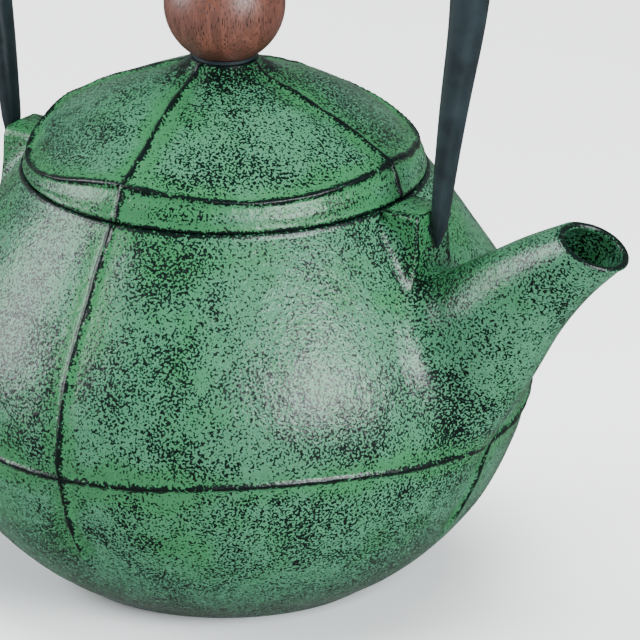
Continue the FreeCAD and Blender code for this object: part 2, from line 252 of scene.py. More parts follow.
def smooth(obj, degrees=45.0):
    only(obj)
    bpy.ops.object.shade_smooth_by_angle(angle=math.radians(degrees))


def store(obj, name, values):
    """Keep a number for each vertex, which a finish can read."""
    layer = obj.data.attributes.get(name) or obj.data.attributes.new(name, "FLOAT", "POINT")
    layer.data.foreach_set("value", np.ascontiguousarray(values, dtype=np.float32))


def finish_piece(obj, body, nodes, material):
    obj.data.materials.clear()
    obj.data.materials.append(material)
    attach(obj, body)
    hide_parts(*nodes)


# ---------------------------------------------------------------- outlines, in millimetres
RIM_Z = 110.8               # top of the pot's mouth
LIP_R = 53.5                # outer radius of the mouth's lip
SHOULDER = (71.5, 83.3)     # radius and height where the belly's arc meets the straight shoulder
SHOULDER_RISE = 0.84        # height for each millimetre along the shoulder
SHOULDER_LEAN = 0.6545      # the same, outwards for each millimetre down
BELLY_Z = 53.6
RING_SEAM_Z = 48.7          # the belly's ring seam where it crosses the upright seams
RING_SEAM_RISE = 2.8        # how much higher it runs between them
PEG_Z = 107.4               # axis that the bail swings about


def arc(start, middle, end, count):
    """Points along the circle through three (radius, height) points."""
    (ax, ay), (bx, by), (cx, cy) = start, middle, end
    d = 2 * (ax * (by - cy) + bx * (cy - ay) + cx * (ay - by))
    a2, b2, c2 = ax * ax + ay * ay, bx * bx + by * by, cx * cx + cy * cy
    x = (a2 * (by - cy) + b2 * (cy - ay) + c2 * (ay - by)) / d
    y = (a2 * (cx - bx) + b2 * (ax - cx) + c2 * (bx - ax)) / d
    first = math.atan2(ay - y, ax - x)
    last = math.atan2(cy - y, cx - x)
    last = first + math.remainder(last - first, 2 * math.pi)
    radius = math.hypot(ax - x, ay - y)
    turns = np.linspace(first, last, count)
    return [(x + radius * math.cos(t), y + radius * math.sin(t)) for t in turns]


def straight(start, end, count):
    return [(start[0] + (end[0] - start[0]) * t, start[1] + (end[1] - start[1]) * t)
            for t in np.linspace(0, 1, count)]


def joined_up(*runs):
    """Runs of points put end to end without repeats."""
    points = []
    for run in runs:
        for point in run:
            if not points or math.hypot(point[0] - points[-1][0], point[1] - points[-1][1]) > 1e-4:
                points.append(tuple(point))
    return points


BOWL = arc((80.4, BELLY_Z), (68.2, 25.0), (39.8, 0.0), 200)
BELLY = arc((80.4, BELLY_Z), (78.1, 69.1), SHOULDER, 120)
OUTSIDE = joined_up(BOWL[::-1], BELLY, straight(SHOULDER, (LIP_R, RIM_Z), 120))
OUTSIDE_R = np.array([p[0] for p in OUTSIDE])
OUTSIDE_Z = np.array([p[1] for p in OUTSIDE])
SLOPE = evened(np.gradient(OUTSIDE_R, OUTSIDE_Z), 19)


def wobble(*args):
    """Smooth noise for arrays of points."""
    points = np.stack(np.broadcast_arrays(*args), axis=-1).reshape(-1, 3)
    return np.array([noise.noise(Vector(p)) for p in points]).reshape(np.broadcast(*args).shape)


def nearest_seam(angle):
    """For angles in degrees: the signed turn to the nearest upright seam, its number, and the share of
    the way across the panel from the seam before to the seam after."""
    angle = np.asarray(angle) % 360.0
    turn = np.full(angle.shape, 999.0)
    which = np.zeros(angle.shape, dtype=int)
    share = np.zeros(angle.shape)
    panel = np.zeros(angle.shape, dtype=int)
    for k, seam in enumerate(SEAMS):
        away = (angle - seam + 180.0) % 360.0 - 180.0
        closer = np.abs(away) < np.abs(turn)
        turn = np.where(closer, away, turn)
        which = np.where(closer, k, which)
        width = (SEAMS[(k + 1) % len(SEAMS)] - seam) % 360.0
        along = (angle - seam) % 360.0
        inside = along < width
        share = np.where(inside, along / width, share)
        panel = np.where(inside, k, panel)
    return turn, which, share, panel


def ridge(distance, half_width):
    """Cross-section of a raised seam: a rounded top with soft feet."""
    return 1.0 / (1.0 + (np.abs(distance) / half_width) ** 3.6)


def step_up(value, low, high):
    t = np.clip((value - low) / (high - low), 0.0, 1.0)
    return t * t * (3 - 2 * t)


def belly_seam_z(angle):
    """Height of the ring seam round the belly."""
    _, _, share, panel = nearest_seam(angle)
    rise = RING_SEAM_Z + RING_SEAM_RISE * (1 - np.cos(2 * math.pi * share)) / 2
    return rise + 0.35 * wobble(np.asarray(angle) / 13.0, np.zeros_like(share) + 4.0, panel * 0.0)


def pot_relief(angle, z):
    """Height of the pot's surface over the plain outline, and the crest and edge marks for its finish."""
    sizes = bpy.context.scene.teapot_pot
    half = sizes.seam_width / MM / 2
    height = sizes.seam_height / MM
    radius = np.interp(z, OUTSIDE_Z, OUTSIDE_R)
    turn, which, _, _ = nearest_seam(angle)
    lean = np.where(which == 3, -0.5 - 1.4 * np.exp(-((z - 62.0) / 22.0) ** 2), 0.0)
    sway = 0.55 * wobble(z / 15.0, which * 7.3 + 0.5, np.zeros_like(z) + 2.0) + lean
    upright = radius * np.radians(turn) + sway
    level = (z - belly_seam_z(angle)) * 1.03
    under_spout = (which == 0) & (level > 0.0)
    fade = np.where(under_spout, 0.0, step_up(z, 15.0, 27.0))
    thick = 1.0 + 0.36 * wobble(z / 7.0, which * 3.1, np.zeros_like(z))
    thick = thick + 0.22 * wobble(z / 2.4, which * 4.3, np.zeros_like(z) + 3.0)
    stand = 1.0 + 0.22 * wobble(z / 5.0, which * 5.7, np.zeros_like(z) + 9.0)
    upright_ridge = ridge(upright, half * thick) * fade * stand
    tooth = 1.0 + 0.10 * np.sin(np.radians(angle) * radius * 2 * math.pi / 2.3)
    ring = ridge(level, half * 0.95) * tooth * (1.0 + 0.15 * wobble(angle / 4.0, z * 0, z * 0 + 5.0))
    crest = np.maximum(upright_ridge, ring)
    faded = np.abs(upright) + 14.0 * (1.0 - fade)
    edge = np.minimum(np.where(under_spout, 99.0, faded), np.abs(level))
    from_rim = (RIM_Z - z) / SHOULDER_RISE
    nearest = np.minimum(np.minimum(edge, from_rim * 1.2), np.maximum(z, 0.0) * 1.6)
    swell = (1.0 - np.exp(-np.maximum(nearest - 0.6, 0.0) / 9.0)) * sizes.puff / MM
    a = np.radians(angle)
    x, y = radius * np.cos(a), radius * np.sin(a)
    slow = wobble(x / 21.0, y / 21.0, z / 17.0) + 0.45 * wobble(x / 8.5, y / 8.5, z / 8.5 + 3.0)
    slow = slow * np.minimum(1.0, from_rim / 6.0) * sizes.waviness / MM
    total = swell - 0.55 + slow + crest * height
    return total * step_up(z, 0.0, 4.0) * step_up(from_rim, -0.1, 1.2), crest, edge


def pot_surface(angle, z, sink=0.0):
    """Points on the pot's outside, in millimetres, for angles in degrees and heights."""
    angle, z = np.broadcast_arrays(np.asarray(angle, float), np.asarray(z, float))
    radius = np.interp(z, OUTSIDE_Z, OUTSIDE_R)
    slope = np.interp(z, OUTSIDE_Z, SLOPE)
    length = np.hypot(1.0, slope)
    rise, _, _ = pot_relief(angle, z)
    rise = rise - sink
    return turned(radius + rise / length, angle, z - rise * slope / length)


def seam_columns(columns):
    """Angles for the columns of faces, close together at each upright seam."""
    base = np.arange(columns) * 360.0 / columns
    fine = np.linspace(0, 360, 7201)
    turn, _, _, _ = nearest_seam(fine)
    density = 1.0 + 6.0 * np.exp(-(turn / 1.1) ** 2) + 1.2 * np.exp(-(turn / 4.0) ** 2)
    total = np.concatenate([[0], np.cumsum((density[1:] + density[:-1]) / 2)])
    total = total / total[-1] * 360.0
    return np.interp(base, total, fine)


def reshape_spun(obj, profile, columns, mover):
    """Give each spun vertex its row and its column's new angle, and let mover put it in place."""
    points = coords(obj) / MM
    radius, _ = polar(points)
    outline = np.array(profile)
    row = np.zeros(len(points), dtype=int)
    for start in range(0, len(points), 4096):
        part = slice(start, start + 4096)
        gap = np.hypot(radius[part, None] - outline[None, :, 0], points[part, 2, None] - outline[None, :, 1])
        row[part] = gap.argmin(axis=1)
    angles = seam_columns(columns)[column_of(points, columns)]
    place(obj, mover(angles, row, radius, points[:, 2]) * MM)


# ---------------------------------------------------------------- finishes
def material(name):
    made = bpy.data.materials.new(name)
    made.use_nodes = True
    tree = made.node_tree
    tree.nodes.clear()
    out = tree.nodes.new("ShaderNodeOutputMaterial")
    shader = tree.nodes.new("ShaderNodeBsdfPrincipled")
    tree.links.new(shader.outputs["BSDF"], out.inputs["Surface"])
    return made, tree, shader


class Weave:
    """Short names for adding nodes to one material."""

    def __init__(self, tree):
        self.tree = tree
        self.coord = tree.nodes.new("ShaderNodeTexCoord")

    def add(self, kind, **inputs):
        node = self.tree.nodes.new(kind)
        for key, value in inputs.items():
            setattr(node, key, value)
        return node

    def link(self, source, target):
        self.tree.links.new(source, target)

    def place(self, scale=(1, 1, 1), location=(0, 0, 0), rotation=(0, 0, 0), source=None):
        node = self.add("ShaderNodeMapping")
        node.inputs["Scale"].default_value = scale
        node.inputs["Location"].default_value = location
        node.inputs["Rotation"].default_value = rotation
        self.link(source or self.coord.outputs["Object"], node.inputs["Vector"])
        return node.outputs["Vector"]

    def noise(self, size, detail=2.0, roughness=0.5, distortion=0.0, vector=None):
        """Noise whose features are about size metres across."""
        node = self.add("ShaderNodeTexNoise")
        node.inputs["Scale"].default_value = 1.0 / size
        node.inputs["Detail"].default_value = detail
        node.inputs["Roughness"].default_value = roughness
        node.inputs["Distortion"].default_value = distortion
        self.link(vector or self.coord.outputs["Object"], node.inputs["Vector"])
        return node.outputs["Fac"]

    def math(self, operation, a, b=None, clamp=False):
        node = self.add("ShaderNodeMath", operation=operation, use_clamp=clamp)
        for socket, value in zip(node.inputs, (a, b)):
            if value is None:
                continue
            if isinstance(value, (int, float)):
                socket.default_value = value
            else:
                self.link(value, socket)
        return node.outputs["Value"]

    def ramp(self, source, low, high, to_low=0.0, to_high=1.0, smooth=True):
        node = self.add("ShaderNodeMapRange", interpolation_type="SMOOTHSTEP" if smooth else "LINEAR")
        node.inputs["From Min"].default_value = low
        node.inputs["From Max"].default_value = high
        node.inputs["To Min"].default_value = to_low
        node.inputs["To Max"].default_value = to_high
        self.link(source, node.inputs["Value"])
        return node.outputs["Result"]

    def mix(self, factor, a, b):
        node = self.add("ShaderNodeMix", data_type="RGBA")
        if isinstance(factor, (int, float)):
            node.inputs["Factor"].default_value = factor
        else:
            self.link(factor, node.inputs["Factor"])
        for key, value in (("A", a), ("B", b)):
            socket = [s for s in node.inputs if s.name == key and s.type == "RGBA"][0]
            if isinstance(value, (tuple, list)) or hasattr(value, "r"):
                socket.default_value = (value[0], value[1], value[2], 1.0)
            else:
                self.link(value, socket)
        return [s for s in node.outputs if s.type == "RGBA"][0]

    def attribute(self, name):
        node = self.add("ShaderNodeAttribute", attribute_name=name)
        return node.outputs["Fac"]

    def bump(self, height, distance, strength=1.0, under=None):
        node = self.add("ShaderNodeBump")
        node.inputs["Strength"].default_value = strength
        node.inputs["Distance"].default_value = distance
        self.link(height, node.inputs["Height"])
        if under is not None:
            self.link(under, node.inputs["Normal"])
        return node.outputs["Normal"]


def shade(colour, factor):
    return tuple(min(1.0, c * factor) for c in colour)


def enamel_finish():
    """Green enamel over cast iron, rubbed back so that black shows as a fine speckle and on the seams, with
    painted shade laid on as denser speckle.
    """
    found = bpy.data.materials.get("speckled_green_enamel")
    if found:
        return found
    finishes = bpy.context.scene.teapot_finishes
    grain = finishes.grain
    made, tree, shader = material("speckled_green_enamel")
    w = Weave(tree)
    crest = w.attribute("crest")
    edge = w.attribute("edge")
    dark = w.attribute("dark")
    tone = w.math("ADD", w.noise(22 * MM, 3.0, 0.55), w.ramp(edge, 1.0, 9.0, -0.16, 0.08))
    green = w.mix(w.ramp(tone, 0.38, 0.60), tuple(finishes.enamel), tuple(finishes.enamel_pale))
    fine_tone = w.noise(1.9 * MM, 3.0, 0.6)
    green = w.mix(w.ramp(fine_tone, 0.35, 0.75, 0.0, 0.30), green, shade(finishes.enamel, 0.60))
    patch = w.noise(21 * MM, 2.0, 0.5, 0.4, w.place(location=(0.013, 0.021, 0.007)))
    cloud = w.noise(5.0 * MM, 2.0, 0.6)
    density = w.math("ADD", w.ramp(patch, 0.36, 0.64, -0.072, 0.040), w.ramp(cloud, 0.3, 0.7, -0.026, 0.026))
    density = w.math("ADD", density, w.ramp(edge, 1.2, 6.0, -0.080, 0.012))
    # Painted shade: the dark mark thickens the black speckle where shade falls on the pot, the spout, the lid
    # and round the knob's boss.
    density = w.math("ADD", density, w.math("MULTIPLY", dark, 0.30))
    grit = w.noise(grain, 0.6, 0.5, 0.35)
    speck = w.ramp(w.math("ADD", grit, density), 0.525, 0.555)
    fringe = w.ramp(edge, 0.25, 2.0, 1.0, 0.0, False)
    ragged = w.math("MULTIPLY", w.math("SUBTRACT", grit, 0.5), 1.9)
    broken = w.math("MULTIPLY", w.math("SUBTRACT", cloud, 0.5), 1.5)
    rubbed = w.ramp(w.math("ADD", w.math("ADD", fringe, ragged), broken), 0.50, 0.60)
    rim_grit = w.math("ADD", crest, w.math("MULTIPLY", w.math("SUBTRACT", grit, 0.5), 1.2))
    rubbed = w.math("MAXIMUM", rubbed, w.ramp(rim_grit, 0.42, 0.54))
    black = w.math("MAXIMUM", speck, rubbed)
    w.link(w.mix(black, green, tuple(finishes.speckle)), shader.inputs["Base Color"])
    rough = w.ramp(black, 0.0, 1.0, 0.29, 0.36)
    rough = w.math("ADD", rough, w.ramp(fine_tone, 0.3, 0.7, -0.05, 0.07))
    w.link(rough, shader.inputs["Roughness"])
    shader.inputs["Specular IOR Level"].default_value = 0.20
    shader.inputs["Coat Weight"].default_value = 0.16
    shader.inputs["Coat Roughness"].default_value = 0.15
    pits = w.bump(w.noise(grain * 1.6, 2.0, 0.6), 0.30 * MM, 0.60)
    hammered = w.bump(w.noise(3.0 * MM, 2.0, 0.5), 0.45 * MM, 0.45, pits)
    w.link(hammered, shader.inputs["Normal"])
    w.link(hammered, shader.inputs["Coat Normal"])
    return made


def iron_finish():
    """Black satin coating over iron, with a fine cast grain."""
    found = bpy.data.materials.get("black_satin_iron")
    if found:
        return found
    finishes = bpy.context.scene.teapot_finishes
    made, tree, shader = material("black_satin_iron")
    w = Weave(tree)
    tone = w.noise(9 * MM, 3.0, 0.6)
    colour = w.mix(w.ramp(tone, 0.3, 0.7), tuple(finishes.iron), shade(finishes.iron, 2.1))
    w.link(colour, shader.inputs["Base Color"])
    w.link(w.ramp(w.noise(1.2 * MM, 3.0, 0.6), 0.3, 0.7, 0.36, 0.50), shader.inputs["Roughness"])
    shader.inputs["Specular IOR Level"].default_value = 0.34
    grain = w.bump(w.noise(0.7 * MM, 2.0, 0.6), 0.08 * MM, 0.5)
    w.link(w.bump(w.noise(6 * MM, 2.0, 0.5), 0.25 * MM, 0.4, grain), shader.inputs["Normal"])
    return made


def wood_finish():
    """Reddish turned wood: long fine pores running up the ball, slow bands, a thin satin lacquer, and painted
    shade towards its foot.
    """
    finishes = bpy.context.scene.teapot_finishes
    made, tree, shader = material("turned_red_wood")
    w = Weave(tree)
    up = w.place(scale=(1.0, 1.0, 0.11))
    bands = w.noise(3.6 * MM, 3.0, 0.55, 0.8, up)
    colour = w.mix(w.ramp(bands, 0.33, 0.67), shade(finishes.wood, 0.78), shade(finishes.wood, 1.25))
    fibre = w.noise(0.55 * MM, 3.0, 0.6, 0.2, w.place(scale=(1.0, 1.0, 0.06)))
    colour = w.mix(w.ramp(fibre, 0.42, 0.70, 0.0, 0.45), colour, shade(finishes.wood, 0.38))
    pores = w.noise(0.34 * MM, 1.0, 0.5, 0.0, w.place(scale=(1.0, 1.0, 0.14), location=(0.004, 0.002, 0.0)))
    pore = w.ramp(pores, 0.585, 0.645)
    colour = w.mix(w.math("MULTIPLY", pore, 0.85), colour, shade(finishes.wood, 0.10))
    split = w.add("ShaderNodeSeparateXYZ")
    w.link(w.coord.outputs["Object"], split.inputs["Vector"])
    # Painted shade: the ball darkens towards its foot, where it sits in the shadow over the lid.
    foot = w.ramp(split.outputs["Z"], 142.5 * MM, 150.5 * MM, 0.55, 0.0)
    colour = w.mix(foot, colour, shade(finishes.wood, 0.22))
    w.link(colour, shader.inputs["Base Color"])
    w.link(w.ramp(fibre, 0.3, 0.7, 0.36, 0.52), shader.inputs["Roughness"])
    shader.inputs["Specular IOR Level"].default_value = 0.30
    shader.inputs["Coat Weight"].default_value = 0.12
    shader.inputs["Coat Roughness"].default_value = 0.34
    sunk = w.math("MULTIPLY", pore, -1.0)
    w.link(w.bump(sunk, 0.10 * MM, 0.6, w.bump(fibre, 0.05 * MM, 0.5)), shader.inputs["Normal"])
    return made


def metal_finish(name, colour, rough, streak, scale):
    """Plain bright metal with a fine brushed or turned grain."""
    made, tree, shader = material(name)
    w = Weave(tree)
    brushed = w.noise(streak, 3.0, 0.6, 0.0, w.place(scale=scale))
    tone = w.mix(w.ramp(brushed, 0.3, 0.7), shade(colour, 0.82), colour)
    w.link(tone, shader.inputs["Base Color"])
    shader.inputs["Metallic"].default_value = 1.0
    w.link(w.ramp(brushed, 0.3, 0.7, rough * 0.75, rough * 1.3), shader.inputs["Roughness"])
    w.link(w.bump(brushed, 0.03 * MM, 0.5), shader.inputs["Normal"])
    return made


def floor_finish():
    made, tree, shader = material("pale_floor")
    w = Weave(tree)
    tone = w.noise(0.4, 2.0, 0.5)
    w.link(w.mix(w.ramp(tone, 0.3, 0.7), (0.86, 0.86, 0.86), (0.90, 0.90, 0.90)), shader.inputs["Base Color"])
    shader.inputs["Roughness"].default_value = 0.6
    return made


# ---------------------------------------------------------------- pot
SPOUT = np.array([
    # upper x, upper z, lower x, lower z, half width, wall
    (53.0, 86.0, 72.5, 43.0, 16.5, 4.0),
    (66.0, 93.5, 82.5, 52.0, 15.5, 4.0),
    (75.5, 99.5, 94.0, 69.0, 14.0, 3.8),
    (85.5, 105.5, 104.0, 85.5, 12.0, 3.2),
    (95.0, 111.0, 114.0, 98.0, 10.5, 2.5),
    (107.0, 117.0, 125.0, 108.5, 9.7, 1.9),
])


def spout_station(t):
    """Sizes of the spout at t, from 0 inside the pot to 1 at its mouth, smoothly through the table."""
    last = len(SPOUT) - 1
    along = np.clip(np.asarray(t, float), 0.0, 1.0) * last
    k = np.minimum(along.astype(int), last - 1)
    f = (along - k)[..., None]
    p0, p1 = SPOUT[np.maximum(k - 1, 0)], SPOUT[k]
    p2, p3 = SPOUT[k + 1], SPOUT[np.minimum(k + 2, last)]
    return 0.5 * (2 * p1 + (p2 - p0) * f + (2 * p0 - 5 * p1 + 4 * p2 - p3) * f ** 2
                  + (3 * p1 - p0 - 3 * p2 + p3) * f ** 3)


def spout_centre(s):
    """Middle of the spout for its sizes at one or more stations."""
    return np.stack([(s[..., 0] + s[..., 2]) / 2, 0 * s[..., 0], (s[..., 1] + s[..., 3]) / 2], axis=-1)


def spout_point(t, phi, inset=0.0, along=0.0):
    """A point on the spout's skin, moved inwards by inset and down its length by along."""
    s = spout_station(t)
    none = 0 * s[..., 0]
    axis = np.stack([s[..., 0] - s[..., 2], none, s[..., 1] - s[..., 3]], axis=-1) / 2
    half = np.linalg.norm(axis, axis=-1)
    across = unit(axis)
    outwards = np.stack([across[..., 2], none, -across[..., 0]], axis=-1)
    a = (half - inset) * np.cos(phi)
    point = spout_centre(s) + across * a[..., None]
    point[..., 1] += (s[..., 4] - inset) * np.sin(phi)
    return point - outwards * along


def outside_gap(points):
    """How far points are outside the pot's plain outline, in radius."""
    return polar(points)[0] - np.interp(points[..., 2], OUTSIDE_Z, OUTSIDE_R)


def on_pot(points, sink=0.0):
    """Points dropped onto the pot's outside, square to its outline."""
    z = points[..., 2]
    slope = np.interp(z, OUTSIDE_Z, SLOPE)
    z = z + outside_gap(points) * slope / (1.0 + slope ** 2)
    return pot_surface(polar(points)[1], z, sink)


FILLET_RINGS = 8                        # rings from the skirt to the top of the fillet
SKIN_RINGS = 30                         # rings from there to the lip
LIP_RING = FILLET_RINGS + SKIN_RINGS    # the first ring where the skin turns over its lip
LIP_TURNS = (30, 60, 90, 120, 150, 180)
CHANNEL_RINGS = 20


def spout_rings():
    """Rings from a skirt on the pot, up the spout's skin, round its lip and down its channel."""
    columns = 72
    lip = bpy.context.scene.teapot_pot.lip_radius / MM
    phi = np.arange(columns) * 2 * math.pi / columns
    reach = np.linspace(0.0, 0.5, 600)
    skin = spout_point(reach[:, None], phi[None, :])
    inside = outside_gap(skin) < 0.15
    crossing = inside.shape[0] - 1 - np.argmax(inside[::-1], axis=0)
    meet = skin[crossing, np.arange(columns)]
    lengths = np.linalg.norm(np.diff(skin, axis=0), axis=2)
    travelled = np.vstack([np.zeros(columns), np.cumsum(lengths, axis=0)])
    fillet = 7.6 + 1.4 * np.cos(phi * 2) ** 2
    t_top = np.empty(columns)
    for k in range(columns):
        wanted = travelled[crossing[k], k] + fillet[k]
        t_top[k] = np.interp(wanted, travelled[:, k], reach)
    top = spout_point(t_top, phi)
    normal = unit(meet * (1.0, 1.0, 0.0))
    normal[:, 2] = -np.interp(meet[:, 2], OUTSIDE_Z, SLOPE)
    normal = unit(normal)
    away = meet - spout_centre(spout_station(reach[crossing]))
    away = unit(away - normal * (away * normal).sum(axis=1, keepdims=True))
    spread = on_pot(meet + away * fillet[:, None])
    buried = on_pot(meet + away * (fillet[:, None] + 1.6), 0.5)
    rings = [buried, spread]
    rings += [bent(spread, meet, top, u) for u in (0.17, 0.33, 0.5, 0.67, 0.83)]
    rings.append(top)
    ripple = wobble(phi * 0.9, phi * 0 + 7.0, phi * 0)
    for step in range(1, SKIN_RINGS + 1):
        u = step / SKIN_RINGS
        inset = -0.10 * ripple * (1 - u) * min(1.0, u * 5)
        rings.append(spout_point(t_top + (1.0 - t_top) * u, phi, inset, lip if step == SKIN_RINGS else 0.0))
    for turn in LIP_TURNS:
        a = math.radians(turn)
        rings.append(spout_point(np.ones(columns), phi, lip * (1 - math.cos(a)), lip * (1 - math.sin(a))))
    for step in range(1, CHANNEL_RINGS + 1):
        u = step / CHANNEL_RINGS
        t = np.full(columns, 1.0 - 0.86 * u)
        wall = spout_station(t)[:, 5] * min(1.0, 0.75 + u)
        rings.append(spout_point(t, phi, wall, lip * (1 - u)))
    return rings


def channel_cutter():
    """The spout's channel where it passes through the pot's wall."""
    columns = 48
    phi = np.arange(columns) * 2 * math.pi / columns
    rings = []
    for t in np.linspace(0.0, 0.40, 9):
        station = np.full(columns, t)
        rings.append(spout_point(station, phi, spout_station(station)[:, 5] + 0.02))
    return skinned("channel_cutter", rings)


LUG_HALF = 7.5
LUG_ROOT_X = 54.4
LUG_FACE_X = 65.7
LUG_EDGE = 1.1      # rounding along the edge of the lug's outer face


def lug_rings(side):
    """Rings across one lug from the mouth to its outer face, with sides that flare into the shoulder."""
    top, soft = (RIM_Z + 1.2, 1.3) if side > 0 else (RIM_Z - 0.1, 2.6)
    rings = []
    for x in (54.4, 54.6, 55.2, 56.5, 58.0, 59.5, 61.0, 62.5, 63.8, 64.6, 65.1, 65.45, 65.64, 65.7):
        past_edge = max(0.0, x - (LUG_FACE_X - LUG_EDGE))
        inset = LUG_EDGE - math.sqrt(max(0.0, LUG_EDGE ** 2 - past_edge ** 2))
        inset += 0.5 * max(0.0, 1 - (x - LUG_ROOT_X) / 0.8)
        roof = top - inset
        half = LUG_HALF - inset
        ground = RIM_Z - (x - LIP_R) / SHOULDER_LEAN
        foot = half + min(5.0, 1.0 + max(roof - ground, 0.5) * 0.36)
        right = []
        for degrees in (22, 45, 68, 90):
            a = math.radians(degrees)
            right.append((half - soft + soft * math.sin(a), roof - soft + soft * math.cos(a)))
        side_y, side_z = right[-1]
        for u in (0.25, 0.5, 0.7, 0.85, 1.0):
            right.append((bent(side_y, half + 0.1, foot, u), bent(side_z, ground, ground - 1.0, u)))
        bottom = [(foot * u, ground - 3.5) for u in (0.7, 0.25, -0.25, -0.7)]
        left = [(-y, z) for y, z in right[::-1]]
        rings.append([(side * x, y, z) for y, z in [(0.0, roof)] + right + bottom + left])
    return rings


def axis_cylinder(name, sides, radius, depth, x):
    """A cylinder on the axis that the bail swings about, with its middle at x."""
    deselect()
    bpy.ops.mesh.primitive_cylinder_add(
        vertices=sides, radius=radius * MM, depth=depth * MM, location=(x * MM, 0, PEG_Z * MM),
        rotation=(0, math.pi / 2, 0))
    cylinder = named(name)
    bpy.ops.object.transform_apply(location=True, rotation=True, scale=True)
    return cylinder


def lip_mark(points):
    """1 along the edge of the spout's mouth, and less away from it."""
    upper, lower = SPOUT[-1, 0:2], SPOUT[-1, 2:4]
    normal = unit(np.array([upper[1] - lower[1], 0.0, lower[0] - upper[0]]))
    from_mouth = points - spout_centre(SPOUT[-1])
    beyond = from_mouth @ normal
    across = np.linalg.norm(from_mouth - beyond[:, None] * normal, axis=1)
    return np.exp(-(beyond / 1.1) ** 2) * (np.abs(across - 8.8) < 1.6)


def pot_marks(points, ring):
    """Marks that the enamel reads: crests rubbed to black, distance from a seam, and darker places, which are
    painted shade except for a band along the spout's top.
    """
    x, y, z = points.T
    radius, angle = polar(points)
    gap = outside_gap(points)
    near = np.abs(gap) < 2.4
    _, crest, edge = pot_relief(angle, z)
    over_lug = (np.abs(y) < 8.2) & (z > 93.0) & (radius > 54.0) & (radius < 66.5)
    over_spout = (x > 66.0) & (z > 53.0) & ~near
    crest = np.where(near & (z < 110.6) & ~over_lug & ~over_spout, crest, 0.0)
    face_edge = (np.abs(x) > 65.0) & (np.abs(np.abs(y) - 7.2) < 0.9)
    roof_edge = (z > 111.3) & ((np.abs(np.abs(y) - 7.0) < 1.2) | (np.abs(x) > 64.9))
    lug_edge = over_lug & (face_edge | roof_edge)
    on_spout = (x > 60.0) & (np.abs(y) < 24.0) & ~over_lug & (ring > 0)
    spine = np.interp(x, SPOUT[:, 0], SPOUT[:, 1])
    # Denser speckle along the spout's top, and painted shade in the crease at its root and on its lower side.
    along_top = np.exp(-((y / 6.0) ** 2)) * (z > spine - 5.0) * 0.16
    root_painted_shade = np.exp(-(((ring - 4.0) / 1.8) ** 2)) * 0.20
    underside_painted_shade = step_up(-z, -84.0, -58.0) * 0.07
    spout_dark_top_and_shade = np.where(on_spout & (ring < LIP_RING), np.maximum(np.maximum(along_top, root_painted_shade), underside_painted_shade), 0.0)
    channel = on_spout & (ring >= LIP_RING + len(LIP_TURNS))
    # Painted shade, growing deeper down the spout's channel.
    channel_painted_shade = np.where(channel, 0.5 * step_up(ring, LIP_RING + 8.0, LIP_RING + 14.0), 0.0)
    # Painted shade on the pot's lip under the lid and on the walls inside the pot.
    mouth_painted_shade = np.where((z > 110.2) & (radius < 54.0), 0.7, 0.0)
    inner_painted_shade = ((gap < -2.6) & (z > 2.0) & (z < 109.3)) * 0.55
    body_painted_shade = np.where(on_spout, 0.0, np.maximum(mouth_painted_shade, inner_painted_shade))
    return {
        "crest": np.maximum(crest * 0.30, np.maximum(lip_mark(points) * 0.75, lug_edge * 0.6)),
        "edge": np.where(over_lug, 3.0, np.minimum(edge, 30.0)),
        "dark": np.maximum(np.maximum(body_painted_shade, spout_dark_top_and_shade), channel_painted_shade),
    }


